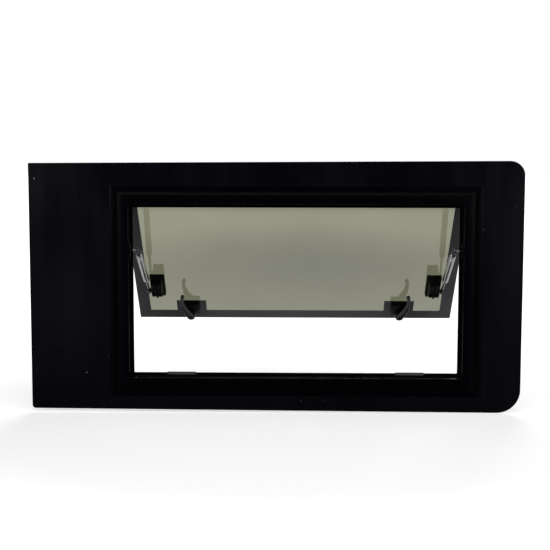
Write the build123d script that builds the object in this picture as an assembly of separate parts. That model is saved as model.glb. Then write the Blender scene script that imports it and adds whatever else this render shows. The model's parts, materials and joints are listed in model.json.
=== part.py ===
from build123d import *
import math
import os

# Top-hung window for a van side: a carrier panel with a mitred frame, a tinted flap that opens
# outwards on a full-length top hinge, two gas struts and two turning latches.
#
# Frame of reference, millimetres: X to the right seen from indoors, Y outwards, Z up.
# The origin is the centre of the opening, on the indoor face of the carrier panel.
# The flap is drawn closed and then turned to its open rest position.

os.makedirs("parts", exist_ok=True)

# ---------------------------------------------------------------- driving dimensions
PANEL_LEFT = -627.0
PANEL_RIGHT = 533.0
PANEL_TOP_LEFT = 300.0
PANEL_TOP_RIGHT = 307.0
PANEL_BOTTOM_LEFT = -282.0
PANEL_BOTTOM_RIGHT = -289.0
PANEL_RADII = (3.0, 35.0, 55.0, 8.0)  # top left, top right, bottom right, bottom left
PANEL_THICK = 5.0
PANEL_EDGE_ROUND = 0.8
SEAT_DEPTH = 0.5  # the frame sits in a shallow seat in the panel
SEAT_GAP = 2.0

FRAME_W = 875.0  # over the indoor flange
FRAME_H = 500.0
FLANGE_WIDTH = 16.5
FLANGE_STAND = 2.2  # how far the flange stands indoors of the panel
NOSE_OUTER = 21.5  # the raised nose runs from here ...
NOSE_INNER = 44.8  # ... to here, measured inwards from the flange's edge
NOSE_STAND = 12.0
LIP_INNER = 53.5  # the lip's edge, which is the clear opening
LIP_INDOOR_Y = 10.0
LIP_OUTDOOR_Y = 14.0
OUTER_FLANGE_EDGE = 4.0
OUTER_FLANGE_Y = (5.8, 8.3)
SEAL_LAND = 36.0
NECK_OUTER = 24.0  # where the profile passes through the panel
APERTURE_EDGE = 23.0
CHAMBER = (28.0, 41.0, -9.0, 4.0)  # hollow in the profile: across from, to, depth from, to
KEY_GAP = 0.2
KEY_LEG = 52.0
SEAL_TOP_Y = 16.7

GLASS_INDOOR_Y = 17.0
GLASS_THICK = 5.0
PANE_W = 817.0
HINGE_Y = 20.0
HINGE_Z = 225.4
PANE_LENGTH = 443.2  # hinge axis to the bottom edge
PANE_TOP = 8.3  # hinge axis to the glass's top edge
PANE_CORNER = 4.0
OPEN_ANGLE = 42.0
BORDER_SIDE = 30.0
BORDER_BOTTOM = 30.5
BORDER_TOP = 24.0
PRINT_THICK = 0.15
TAB_X = 270.0
TAB_W = 77.0
TAB_H = 69.0

BEAD_R = 3.0
CLAW_R = 3.08
CLAW_OUTER_R = 5.2
HINGE_HALF = 400.0

STRUT_X = 372.0
STRUT_FRAME_Y = 7.0
STRUT_FRAME_Z = 95.0
STRUT_PANE_T = 313.0  # distance below the hinge axis, along the pane
STRUT_PANE_H = 22.0  # height above the glass
TUBE_R = 7.5
TUBE_BORE_R = 6.5
ROD_R = 3.0
BALL_R = 4.0
SOCKET_R = 6.5
STUD_R = 2.5
SOCKET_NECK_R = 5.0
SOCKET_REACH = 17.0  # ball centre to the tube
ROD_SOCKET_REACH = 11.5  # ball centre to the end of the rod's socket
TRAVEL_GAP = 1.5
GUIDE_LENGTH = 14.0
PISTON_LENGTH = 8.0
PIVOT_GAP = 0.3
COLLAR_R = 4.8
COLLAR_THICK = 2.0
COLLAR_AT = 9.2  # frame stud's collar, from the wall
STUD_SCREW_DZ = 11.5  # screws of the frame bracket, either side of the ball

BRACKET_X = (337.5, 363.5)  # tower
BRACKET_T = (274.0, 320.0)
BRACKET_H = 37.0
FOOT_X = (333.0, 370.0)  # plate and body under the tower
FOOT_END_T = 346.0
FOOT_BODY_H = 9.5
BRACKET_BASE = 4.0
BRACKET_SCREW_T = 338.0
BRACKET_SCREW_INSET = 6.0

LATCH_X = 271.0
LATCH_T = 406.0
LATCH_HALF = 22.0
LATCH_TOP_T = 374.5
LATCH_FOOT_T = 413.0
LATCH_BASE = 3.0
LATCH_HOUSING = 16.5
LATCH_WALL = 2.0
LATCH_SCREW_DX = 12.0
LATCH_SCREW_DROP = 9.0
SPINDLE_R = 4.0
RUN_GAP = 0.06
TONGUE_H = (9.5, 13.5)
TONGUE_REACH = 22.5
TONGUE_HALF = 7.0
LEVER_H = (24.5, 32.5)
LEVER_HUB_R = 10.0
LEVER_SCREW_R = 1.6

KEEPER_HALF = 34.0
KEEPER_THICK = 1.5
KEEPER_DROP = 4.5
RIVET_R = 1.2
RIVET_DX = 26.0
RIVET_DROP = 2.2
RIVET_BITE = 2.0

SCREW_R = 2.0
SCREW_GAP = 0.1
SCREW_INSET = 10.0  # flange screws, from the flange's edge
SCREW_TIP_Y = -0.9


# ---------------------------------------------------------------- helpers
def face_of(points, plane):
    return plane * make_face(Polyline(*points, close=True))


def prism_x(points, x0, x1):
    """Solid with an outline of (y, z) points, from x0 to x1."""
    return extrude(face_of(points, Plane.YZ.offset(x0)), amount=x1 - x0)


def prism_y(points, y0, y1):
    """Solid with an outline of (x, z) points, from y0 to y1."""
    return extrude(face_of(points, Plane.XZ.offset(-y1)), amount=y1 - y0)


def prism_z(points, z0, z1):
    """Solid with an outline of (x, y) points, from z0 to z1."""
    return extrude(face_of(points, Plane.XY.offset(z0)), amount=z1 - z0)


def block(x0, x1, y0, y1, z0, z1):
    """Box between two corners, given in either order."""
    size = (abs(x1 - x0), abs(y1 - y0), abs(z1 - z0))
    return Pos((x0 + x1) / 2, (y0 + y1) / 2, (z0 + z1) / 2) * Box(*size)


def along(origin, direction, across=(1, 0, 0)):
    """Plane whose own Z runs along the direction."""
    return Plane(origin=origin, x_dir=across, z_dir=direction)


def rod_along(origin, direction, radius, start, end, across=(1, 0, 0)):
    """Cylinder along a direction, between two distances from the origin."""
    length = end - start
    return along(origin, direction, across) * Pos(0, 0, start + length / 2) * Cylinder(radius, length)


def rod_x(x0, x1, y, z, radius):
    return rod_along((x0, y, z), (1 if x1 > x0 else -1, 0, 0), radius, 0, abs(x1 - x0), (0, 1, 0))


def rod_y(x, z, radius, y0, y1):
    return rod_along((x, y0, z), (0, 1, 0), radius, 0, y1 - y0)


def screw(seat, direction, length, head_r=3.6, head_h=2.2, shank_r=SCREW_R - SCREW_GAP):
    """Pan-head screw with a cross recess; the direction points from the seat into the work."""
    shank = Pos(0, 0, length / 2) * Cylinder(shank_r, length)
    head = Pos(0, 0, -head_h / 2) * Cylinder(head_r, head_h)
    head = fillet(head.edges().group_by(Axis.Z)[0], head_h * 0.45)
    slot_depth = head_h * 0.55
    recess = Box(head_r * 1.1, head_r * 0.26, slot_depth) + Box(head_r * 0.26, head_r * 1.1, slot_depth)
    recess = Pos(0, 0, -head_h + slot_depth / 2) * recess
    across = (1, 0, 0) if abs(direction[0]) < 0.5 else (0, 1, 0)
    return along(seat, direction, across) * (shank + head - recess)


def opened(shape):
    """Turns a piece of the closed flap to its open rest position."""
    return shape.rotate(Axis((0, HINGE_Y, HINGE_Z), (1, 0, 0)), OPEN_ANGLE)


def pane_y(height):
    """Closed Y of a height above the glass's indoor face."""
    return GLASS_INDOOR_Y - height


def pane_z(distance):
    """Closed Z of a distance below the hinge axis."""
    return HINGE_Z - distance


def mirrored(shape):
    return mirror(shape, about=Plane.YZ)


def write(name, *solids):
    """Writes one node; several solids go into it as a group."""
    shape = solids[0] if len(solids) == 1 else Compound(children=list(solids))
    if len(shape.solids()) == 1:
        shape = shape.solids()[0]
    export_step(shape, f"parts/{name}.step")


def write_pair(name, left):
    """Writes a left-hand piece and its mirror image."""
    write(f"{name}_left", left)
    write(f"{name}_right", mirrored(left))


# ---------------------------------------------------------------- carrier panel
def frame_rectangle(inset, y0, y1, radius=0.0):
    """Box of the frame's outline, drawn in by an inset."""
    solid = block(
        -FRAME_W / 2 + inset, FRAME_W / 2 - inset, y0, y1, -FRAME_H / 2 + inset, FRAME_H / 2 - inset
    )
    return fillet(solid.edges().filter_by(Axis.Y), radius) if radius else solid


def carrier_panel():
    corners = (
        (PANEL_LEFT, PANEL_TOP_LEFT),
        (PANEL_RIGHT, PANEL_TOP_RIGHT),
        (PANEL_RIGHT, PANEL_BOTTOM_RIGHT),
        (PANEL_LEFT, PANEL_BOTTOM_LEFT),
    )
    outline = FilletPolyline(*corners, radius=list(PANEL_RADII), close=True)
    face = Plane.XZ.offset(-PANEL_THICK) * make_face(outline)
    panel = extrude(face, amount=PANEL_THICK)
    panel = fillet(panel.edges().group_by(Axis.Y)[-1], PANEL_EDGE_ROUND)
    panel -= frame_rectangle(-SEAT_GAP, -1.0, SEAT_DEPTH, 3.0)
    panel -= frame_rectangle(APERTURE_EDGE, -1.0, PANEL_THICK + 1.0, 2.5)
    return panel


# ---------------------------------------------------------------- mitred frame
def frame_profile():
    """Section of the main frame: (distance in from the flange's edge, y)."""
    inner_y, outer_y = OUTER_FLANGE_Y
    return (
        (NOSE_OUTER, -NOSE_STAND),
        (NOSE_INNER, -NOSE_STAND),
        (NOSE_INNER, LIP_INDOOR_Y),
        (LIP_INNER, LIP_INDOOR_Y),
        (LIP_INNER, LIP_OUTDOOR_Y),
        (SEAL_LAND, LIP_OUTDOOR_Y),
        (SEAL_LAND, outer_y),
        (OUTER_FLANGE_EDGE, outer_y),
        (OUTER_FLANGE_EDGE, inner_y),
        (NECK_OUTER, inner_y),
        (NECK_OUTER, -FLANGE_STAND),
        (NOSE_OUTER, -FLANGE_STAND),
    )


def chamber_profile():
    u0, u1, y0, y1 = CHAMBER
    return ((u0, y0), (u1, y0), (u1, y1), (u0, y1))


def clamp_profile():
    return (
        (0.0, -FLANGE_STAND + 0.6),
        (0.6, -FLANGE_STAND),
        (FLANGE_WIDTH - 0.6, -FLANGE_STAND),
        (FLANGE_WIDTH, -FLANGE_STAND + 0.6),
        (FLANGE_WIDTH, SEAT_DEPTH),
        (0.0, SEAT_DEPTH),
    )


def bar(side, profile):
    """Runs a section along one side of the frame, longer than the side."""
    half_w, half_h = FRAME_W / 2, FRAME_H / 2
    if side in ("top", "bottom"):
        sign = 1 if side == "top" else -1
        points = [(y, sign * (half_h - u)) for u, y in profile]
        return prism_x(points, -half_w - 1, half_w + 1)
    sign = 1 if side == "right" else -1
    points = [(sign * (half_w - u), y) for u, y in profile]
    return prism_z(points, -half_h - 1, half_h + 1)


def mitre_wedge(side):
    """Solid that keeps one side of the frame between its two 45 degree mitres."""
    half_w, half_h = FRAME_W / 2, FRAME_H / 2
    reach = LIP_INNER + 6.0
    wide, tall = half_w + 1, half_h + 1
    narrow, short = half_w - reach, half_h - reach
    if side in ("top", "bottom"):
        sign = 1 if side == "top" else -1
        outer, inner = sign * tall, sign * short
        points = [(-wide, outer), (wide, outer), (narrow, inner), (-narrow, inner)]
    else:
        sign = 1 if side == "right" else -1
        outer, inner = sign * wide, sign * narrow
        points = [(outer, -tall), (outer, tall), (inner, short), (inner, -short)]
    return prism_y(points, -30, 30)


def corner_key(sign_x, sign_z):
    """L-shaped key inside the hollow of two rails at one corner."""
    u0, u1, y0, y1 = CHAMBER
    inner, outer = u0 + KEY_GAP, u1 - KEY_GAP
    x_near, z_near = FRAME_W / 2 - inner, FRAME_H / 2 - inner
    x_far, z_far = FRAME_W / 2 - outer, FRAME_H / 2 - outer
    depth = (y0 + KEY_GAP, y1 - KEY_GAP)
    flat_leg = block(
        sign_x * (x_near - KEY_LEG), sign_x * x_near, *depth, sign_z * z_far, sign_z * z_near
    )
    tall_leg = block(
        sign_x * x_far, sign_x * x_near, *depth, sign_z * (z_near - KEY_LEG), sign_z * z_near
    )
    return flat_leg + tall_leg


def ring(outer_inset, inner_inset, y0, y1, radius_out, radius_in):
    return frame_rectangle(outer_inset, y0, y1, radius_out) - frame_rectangle(
        inner_inset, y0 - 1, y1 + 1, radius_in
    )


def weather_seal():
    """Seal on the lip: a flat foot with a rounded crown."""
    seal = ring(SEAL_LAND + 8.5, LIP_INNER - 0.5, LIP_OUTDOOR_Y, SEAL_TOP_Y, 3.0, 3.0)
    crown = seal.edges().group_by(Axis.Y)[-1]
    return fillet(crown, 2.2)


# ---------------------------------------------------------------- hinge
def claw(radius_in, radius_out, from_deg, to_deg):
    """C-shaped section around the hinge axis, open between two angles from straight down."""
    body = Circle(radius_out) - Circle(radius_in)
    reach = radius_out * 3
    steps = 6
    angles = [math.radians(from_deg + (to_deg - from_deg) * i / steps) for i in range(steps + 1)]
    fan = [(0.0, 0.0)] + [(reach * math.sin(a), -reach * math.cos(a)) for a in angles]
    return body - make_face(Polyline(*fan, close=True))


def hinge_rail():
    """Frame half of the hinge: a screwed strip with an arm and a claw around the bead."""
    outer_y = OUTER_FLANGE_Y[1]
    strip = block(-HINGE_HALF, HINGE_HALF, outer_y, outer_y + 2.0, 217.0, 246.0)
    arm = block(-HINGE_HALF, HINGE_HALF, outer_y, HINGE_Y - 3.9, HINGE_Z - 0.5, HINGE_Z + 2.5)
    hook = claw(CLAW_R, CLAW_OUTER_R, -26, 74)
    hook = Plane(origin=(-HINGE_HALF, HINGE_Y, HINGE_Z), x_dir=(0, 1, 0), z_dir=(1, 0, 0)) * hook
    return strip + arm + extrude(hook, amount=2 * HINGE_HALF)


def hinge_profile():
    """Flap half of the hinge: a bead on a neck, with an angle glued to the glass."""
    web_top, leg_end = 6.7, 28.0
    glass_out = GLASS_INDOOR_Y + GLASS_THICK - HINGE_Y
    shape = Circle(BEAD_R)
    shape += Pos(0, -(BEAD_R + web_top) / 2 + 0.5) * Rectangle(1.8, web_top - BEAD_R + 2.0)
    web = ((-3.0, -web_top), (glass_out + 2.0, -web_top), (glass_out + 2.0, -PANE_TOP), (-3.0, -PANE_TOP))
    leg = (
        (glass_out, -PANE_TOP + 0.4),
        (glass_out + 2.0, -PANE_TOP + 0.4),
        (glass_out + 2.0, -leg_end),
        (glass_out, -leg_end),
    )
    shape += make_face(Polyline(*web, close=True))
    shape += make_face(Polyline(*leg, close=True))
    plane = Plane(origin=(-HINGE_HALF, HINGE_Y, HINGE_Z), x_dir=(0, 1, 0), z_dir=(1, 0, 0))
    return extrude(plane * shape, amount=2 * HINGE_HALF)


def hinge_stop(sign):
    """End stop that keeps the bead from sliding out."""
    x0 = sign * (HINGE_HALF + PIVOT_GAP)
    x1 = sign * (HINGE_HALF + 5.0)
    foot = block(x0, x1, OUTER_FLANGE_Y[1], HINGE_Y + 4.0, HINGE_Z - 4.5, HINGE_Z + 5.0)
    return fillet(foot.edges().filter_by(Axis.X), 1.2)


# ---------------------------------------------------------------- flap
def glass_pane():
    pane = block(
        -PANE_W / 2,
        PANE_W / 2,
        GLASS_INDOOR_Y,
        GLASS_INDOOR_Y + GLASS_THICK,
        pane_z(PANE_LENGTH),
        pane_z(PANE_TOP),
    )
    pane = fillet(pane.edges().filter_by(Axis.Y), PANE_CORNER)
    return chamfer(pane.edges().group_by(Axis.Y)[0], 0.4)


def printed_border():
    """Opaque print round the glass, with a tab behind each latch."""
    half = PANE_W / 2 - 0.6
    y0, y1 = GLASS_INDOOR_Y - PRINT_THICK, GLASS_INDOOR_Y
    low, high = pane_z(PANE_LENGTH - 0.6), pane_z(PANE_TOP + 0.6)
    band = block(-half, half, y0, y1, low, high)
    window = block(
        -half + BORDER_SIDE,
        half - BORDER_SIDE,
        y0 - 1,
        y1 + 1,
        pane_z(PANE_LENGTH - BORDER_BOTTOM),
        pane_z(PANE_TOP + BORDER_TOP),
    )
    window = fillet(window.edges().filter_by(Axis.Y), 2.0)
    band -= window
    for sign in (-1, 1):
        centre = sign * TAB_X
        band += block(centre - TAB_W / 2, centre + TAB_W / 2, y0, y1, low, pane_z(PANE_LENGTH - TAB_H))
    return band


# ---------------------------------------------------------------- struts
def pane_point(distance, height, angle):
    """(y, z) of a point on the flap, opened by an angle in degrees."""
    a = math.radians(angle)
    lift = height + HINGE_Y - GLASS_INDOOR_Y
    y = HINGE_Y + distance * math.sin(a) - lift * math.cos(a)
    z = HINGE_Z - distance * math.cos(a) - lift * math.sin(a)
    return y, z


def strut_span(angle):
    """Length and (y, z) direction from the frame ball to the flap ball."""
    y, z = pane_point(STRUT_PANE_T, STRUT_PANE_H, angle)
    dy, dz = y - STRUT_FRAME_Y, z - STRUT_FRAME_Z
    length = math.hypot(dy, dz)
    return length, (dy / length, dz / length)


OPEN_LENGTH, OPEN_DIRECTION = strut_span(OPEN_ANGLE)
CLOSED_LENGTH, CLOSED_DIRECTION = strut_span(0.0)
TUBE_END = CLOSED_LENGTH - ROD_SOCKET_REACH - TRAVEL_GAP
FRAME_BALL = (-STRUT_X, STRUT_FRAME_Y, STRUT_FRAME_Z)
STRUT_AXIS = (0.0, OPEN_DIRECTION[0], OPEN_DIRECTION[1])


def strut(shape):
    """Places a piece drawn along Z from the frame ball onto the open strut."""
    return along(FRAME_BALL, STRUT_AXIS) * shape


def cylinder_between(radius, start, end):
    return Pos(0, 0, (start + end) / 2) * Cylinder(radius, end - start)


def strut_tube():
    tube = cylinder_between(TUBE_R, SOCKET_REACH, TUBE_END)
    tube = fillet(tube.edges().group_by(Axis.Z)[0], 2.5)
    tube = fillet(tube.edges().group_by(Axis.Z)[-1], 1.2)
    groove_at = TUBE_END - GUIDE_LENGTH + 4.0
    groove = cylinder_between(TUBE_R + 1, groove_at, groove_at + 2.0)
    groove -= cylinder_between(TUBE_R - 0.5, groove_at - 1, groove_at + 3.0)
    tube -= groove
    bore = cylinder_between(TUBE_BORE_R, SOCKET_REACH + 5.0, TUBE_END - 1.2)
    mouth = cylinder_between(ROD_R + 1.5, TUBE_END - 3.0, TUBE_END + 1.0)
    return tube - bore - mouth


def strut_guide():
    """Bush and seal that carry the rod in the tube's mouth."""
    guide = cylinder_between(TUBE_BORE_R, TUBE_END - 1.2 - GUIDE_LENGTH, TUBE_END - 1.2)
    return guide - cylinder_between(ROD_R + RUN_GAP, TUBE_END - 40, TUBE_END + 10)


def socket(reach, neck_toward, stud_side):
    """Ball socket at the local origin; its neck runs along Z and the stud leaves along X."""
    neck_start, neck_end = sorted((neck_toward * 3.0, neck_toward * reach))
    body = Sphere(SOCKET_R) + cylinder_between(SOCKET_NECK_R, neck_start, neck_end)
    body -= Sphere(BALL_R + RUN_GAP)
    mouth = Cylinder(STUD_R + 1.4, SOCKET_R * 2)
    mouth = Pos(stud_side * SOCKET_R, 0, 0) * (Rot(0, 90, 0) * mouth)
    return body - mouth


def ball_stud(ball, base_x, collar_at):
    """Turned ball on a stud along X, with a round collar at a distance from its base."""
    x, y, z = ball
    length = abs(x - base_x)
    waist = length - math.sqrt(BALL_R**2 - STUD_R**2)
    rim, bevel = COLLAR_R - 0.5, 0.5
    edge = [
        (0.0, 0.0),
        (STUD_R, 0.0),
        (STUD_R, collar_at),
        (rim, collar_at),
        (COLLAR_R, collar_at + bevel),
        (COLLAR_R, collar_at + COLLAR_THICK - bevel),
        (rim, collar_at + COLLAR_THICK),
        (STUD_R, collar_at + COLLAR_THICK),
        (STUD_R, waist),
    ]
    edge = edge[:1] + edge[3:] if collar_at == 0 else edge
    outline = [Line(p, q) for p, q in zip(edge, edge[1:])]
    outline.append(ThreePointArc(edge[-1], (BALL_R, length), (0.0, length + BALL_R)))
    outline.append(Line((0.0, length + BALL_R), (0.0, 0.0)))
    stud = revolve(Plane.XZ * make_face(outline), Axis.Z)
    return along((base_x, y, z), (1 if x > base_x else -1, 0, 0), (0, 1, 0)) * stud


def strut_rod():
    rod_end = OPEN_LENGTH - ROD_SOCKET_REACH + 6.0
    piston_face = TUBE_END - 1.2 - GUIDE_LENGTH - 1.0
    return cylinder_between(ROD_R, piston_face - PISTON_LENGTH, rod_end)


def strut_piston():
    piston_face = TUBE_END - 1.2 - GUIDE_LENGTH - 1.0
    piston = cylinder_between(TUBE_BORE_R - 0.08, piston_face - PISTON_LENGTH, piston_face)
    return piston - cylinder_between(ROD_R, piston_face - 2 * PISTON_LENGTH, piston_face + 1)


def rod_socket():
    end = Pos(0, 0, OPEN_LENGTH) * socket(ROD_SOCKET_REACH, -1, 1)
    return end - cylinder_between(ROD_R, 0, OPEN_LENGTH - ROD_SOCKET_REACH + 6.0)


def pane_ball():
    y, z = pane_point(STRUT_PANE_T, STRUT_PANE_H, OPEN_ANGLE)
    return (-STRUT_X, y, z)


def frame_bracket():
    """Plate on the frame's inner wall that carries the ball stud."""
    wall = -(FRAME_W / 2 - NOSE_INNER)
    z = STRUT_FRAME_Z
    plate = block(wall, wall + 3.0, -9.0, 9.7, z - 17.0, z + 17.0)
    plate = fillet(plate.edges().filter_by(Axis.X), 3.5)
    boss = rod_x(wall, wall + 7.5, STRUT_FRAME_Y - 1.5, z, 4.4)
    plate += boss
    plate -= rod_x(wall - 1, wall + 10, STRUT_FRAME_Y, z, STUD_R)
    for dz in (-STUD_SCREW_DZ, STUD_SCREW_DZ):
        plate -= rod_x(wall - 1, wall + 10, 0.0, z + dz, SCREW_R)
    return plate


def frame_bracket_screws():
    wall = -(FRAME_W / 2 - NOSE_INNER)
    seats = [(wall + 3.0, 0.0, STRUT_FRAME_Z + dz) for dz in (-STUD_SCREW_DZ, STUD_SCREW_DZ)]
    return [screw(seat, (-1, 0, 0), 6.5, head_r=3.4, head_h=1.8) for seat in seats]


# ---------------------------------------------------------------- flap brackets
def bracket_base():
    x0, x1 = FOOT_X
    base = block(-x1, -x0, pane_y(BRACKET_BASE), pane_y(0), pane_z(FOOT_END_T), pane_z(BRACKET_T[0]))
    base = fillet(base.edges().filter_by(Axis.Y), 2.0)
    for x in bracket_screw_xs():
        base -= rod_y(x, pane_z(BRACKET_SCREW_T), SCREW_R, pane_y(BRACKET_BASE + 1), pane_y(0.5))
    return base


def bracket_housing():
    """Black moulding: a tower on a low body that ends in two screw ears."""
    x0, x1 = BRACKET_X
    t0, t1 = BRACKET_T
    middle = -(x0 + x1) / 2
    inset = 0.5
    front, seat = pane_y(BRACKET_H), pane_y(BRACKET_BASE)
    body_y = pane_y(FOOT_BODY_H)
    top_z = pane_z(t0)
    body = block(-FOOT_X[1] + inset, -FOOT_X[0] - inset, body_y, seat, pane_z(FOOT_END_T - inset), top_z)
    body = fillet(body.edges().filter_by(Axis.Y), 2.0)
    gap_half, gap_from_t = 6.0, t1 + 9.0
    body -= block(
        middle - gap_half, middle + gap_half, body_y - 1, seat + 1, pane_z(FOOT_END_T + 1), pane_z(gap_from_t)
    )
    tower = block(-x1, -x0, front, seat, pane_z(t1), top_z)
    tower = fillet(tower.edges().filter_by(Axis.X).group_by(Axis.Y)[0], 2.5)
    half, deep = 1.6, 5.0
    tower -= block(middle - half, middle + half, front - 1, front + deep, pane_z(t1 - 8.0), pane_z(t0 - 1))
    half, deep, aside = 2.8, 3.0, 7.0
    low, high = pane_z(t1 - 7.0), pane_z(t0 + 16.0)
    for pocket in (middle - aside, middle + aside):
        tower -= block(pocket - half, pocket + half, front - 1, front + deep, low, high)
    tab = block(middle - 1.8, middle + 1.8, front + 2.5, front + 9.0, pane_z(t1 + 7.0), pane_z(t1 - 2.0))
    housing = body + tower + tab
    for x in bracket_screw_xs():
        housing -= rod_y(x, pane_z(BRACKET_SCREW_T), SCREW_R, body_y - 1, seat + 1)
    stud_y = pane_y(STRUT_PANE_H)
    return housing - rod_x(-x1 - 1, -x1 + 4.0, stud_y, pane_z(STRUT_PANE_T), 3.2)


def bracket_screw_xs():
    x0, x1 = FOOT_X
    return (-x1 + BRACKET_SCREW_INSET, -x0 - BRACKET_SCREW_INSET)


def bracket_screws():
    seats = [(x, pane_y(FOOT_BODY_H), pane_z(BRACKET_SCREW_T)) for x in bracket_screw_xs()]
    return [screw(seat, (0, 1, 0), FOOT_BODY_H - 0.6, head_r=3.3, head_h=2.0) for seat in seats]


# ---------------------------------------------------------------- latches
def latch_base():
    base = block(
        -LATCH_X - LATCH_HALF,
        -LATCH_X + LATCH_HALF,
        pane_y(LATCH_BASE),
        pane_y(PRINT_THICK),
        pane_z(LATCH_FOOT_T),
        pane_z(LATCH_TOP_T),
    )
    base = fillet(base.edges().filter_by(Axis.Y).group_by(Axis.Z)[0], 9.0)
    bearing_r = SPINDLE_R + RUN_GAP
    return base - rod_y(-LATCH_X, pane_z(LATCH_T), bearing_r, pane_y(LATCH_BASE + 1), pane_y(-1))


def latch_housing():
    """Hollow cover, open below, whose front wall narrows to a bearing round the spindle."""
    shoulder, hub = 17.5, 10.0
    z_top, z_shoulder, z_hub = pane_z(LATCH_TOP_T), pane_z(LATCH_TOP_T + shoulder), pane_z(LATCH_T)
    left, right = -LATCH_X - LATCH_HALF, -LATCH_X + LATCH_HALF
    front, back = pane_y(LATCH_HOUSING), pane_y(LATCH_BASE)
    shell = block(left, right, front, back, z_shoulder, z_top)
    shell = fillet(shell.edges().filter_by(Axis.Y).group_by(Axis.Z)[-1], 1.5)
    wall = LATCH_WALL
    shell -= block(left + wall, right - wall, front + wall, back + 1, z_shoulder - 1, z_top - wall)
    apron = prism_y(
        (
            (left, z_shoulder + 2.0),
            (right, z_shoulder + 2.0),
            (right, z_shoulder),
            (-LATCH_X + hub, z_hub),
            (-LATCH_X - hub, z_hub),
            (left, z_shoulder),
        ),
        front,
        front + LATCH_WALL,
    )
    shell += apron
    shell += rod_y(-LATCH_X, z_hub, hub, front, front + LATCH_WALL)
    shell += rod_y(-LATCH_X, z_hub, 7.0, front - 4.0, front + LATCH_WALL)
    return shell - rod_y(-LATCH_X, z_hub, SPINDLE_R + RUN_GAP, front - 10, front + 10)


def latch_spindle():
    """Turning shaft from the base to the lever."""
    z = pane_z(LATCH_T)
    return rod_y(-LATCH_X, z, SPINDLE_R, pane_y(LEVER_H[1] - 3.0), pane_y(0.6))


def latch_tongue():
    """Flat cam on the spindle, pointing to the middle of the window when unlocked."""
    y0, y1 = pane_y(TONGUE_H[1]), pane_y(TONGUE_H[0])
    x, z = -LATCH_X, pane_z(LATCH_T)
    nose = block(x, x + TONGUE_REACH, y0, y1, z - TONGUE_HALF, z + TONGUE_HALF)
    nose = fillet(nose.edges().filter_by(Axis.Y).group_by(Axis.X)[-1], 3.0)
    cam = nose + rod_y(x, z, TONGUE_HALF + 1.5, y0, y1)
    return cam - rod_y(x, z, SPINDLE_R, y0 - 1, y1 + 1)


def latch_lever():
    """Crescent lever: an outer and an inner arc from the hub to a rounded tip."""
    x, z = -LATCH_X, pane_z(LATCH_T)
    outer_start, outer_mid, outer_end = (-6.5, -6.5), (-23.0, 38.0), (-21.5, 78.0)
    inner_end, inner_mid, inner_start = (-11.5, 77.5), (-9.5, 38.0), (6.4, 5.0)
    tip = (-16.6, 83.0)
    outline = (
        ThreePointArc(outer_start, outer_mid, outer_end),
        ThreePointArc(outer_end, tip, inner_end),
        ThreePointArc(inner_end, inner_mid, inner_start),
        Line(inner_start, outer_start),
    )
    y_front, y_back = pane_y(LEVER_H[1]), pane_y(LEVER_H[0])
    shape = make_face(outline) + Circle(LEVER_HUB_R)
    lever = extrude(Plane.XZ.offset(-y_back) * Pos(x, z) * shape, amount=y_back - y_front)
    lever -= rod_y(x, z, SPINDLE_R, y_front + 3.0, y_back + 1)
    lever -= rod_y(x, z, LEVER_SCREW_R, y_front - 1, y_back)
    outline_edges = [e for e in lever.edges().group_by(Axis.Y)[0] if e.length > 7 * LEVER_SCREW_R]
    return fillet(outline_edges, 1.8)


def lever_screw():
    seat = (-LATCH_X, pane_y(LEVER_H[1]), pane_z(LATCH_T))
    return screw(seat, (0, 1, 0), 3.0, head_r=3.6, head_h=1.8, shank_r=1.5)


def latch_base_screws():
    """Two screws inside the housing that hold the base to its stud plate."""
    seat_z = pane_z(LATCH_TOP_T + LATCH_SCREW_DROP)
    seats = [(-LATCH_X + dx, pane_y(LATCH_BASE), seat_z) for dx in (-LATCH_SCREW_DX, LATCH_SCREW_DX)]
    return [screw(seat, (0, 1, 0), LATCH_BASE - 0.5, head_r=3.2, head_h=1.8) for seat in seats]


# ---------------------------------------------------------------- keepers
def keeper():
    lip_top = -(FRAME_H / 2 - LIP_INNER)
    x0, x1 = -LATCH_X - KEEPER_HALF, -LATCH_X + KEEPER_HALF
    y0 = LIP_INDOOR_Y - KEEPER_THICK
    cap = block(x0, x1, y0, LIP_OUTDOOR_Y, lip_top, lip_top + KEEPER_THICK)
    cap += block(x0, x1, y0, LIP_INDOOR_Y, lip_top - KEEPER_DROP, lip_top + KEEPER_THICK)
    for dx in (-RIVET_DX, RIVET_DX):
        cap -= rod_y(-LATCH_X + dx, lip_top - RIVET_DROP, RIVET_R, y0 - 1, LIP_INDOOR_Y + 1)
    return cap


def keeper_rivets():
    z = -(FRAME_H / 2 - LIP_INNER) - RIVET_DROP
    y = LIP_INDOOR_Y - KEEPER_THICK
    rivets = []
    for dx in (-RIVET_DX, RIVET_DX):
        x = -LATCH_X + dx
        head = rod_y(x, z, 1.9, y - 0.7, y)
        rivets.append(head + rod_y(x, z, RIVET_R - 0.1, y, LIP_INDOOR_Y + RIVET_BITE))
    return rivets


# ---------------------------------------------------------------- assembly
def rail_screw_seats():
    """Seats of the flange screws on the three sides without the hinge."""
    seat_y = OUTER_FLANGE_Y[1]
    half_w, half_h = FRAME_W / 2 - SCREW_INSET, FRAME_H / 2 - SCREW_INSET
    seats = [(x, seat_y, -half_h) for x in (-380.0, -190.0, 0.0, 190.0, 380.0)]
    for sign in (-1, 1):
        seats += [(sign * half_w, seat_y, z) for z in (-130.0, 0.0, 130.0)]
    return seats


def hinge_screw_seats():
    seat_y = OUTER_FLANGE_Y[1] + 2.0
    return [(x, seat_y, FRAME_H / 2 - SCREW_INSET) for x in range(-375, 376, 125)]


def through_holes(shape, seats, deepest):
    """Drills the screw holes of a set of seats down to a depth."""
    for x, y, z in seats:
        shape -= rod_y(x, z, SCREW_R, deepest, y + 1)
    return shape


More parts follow.
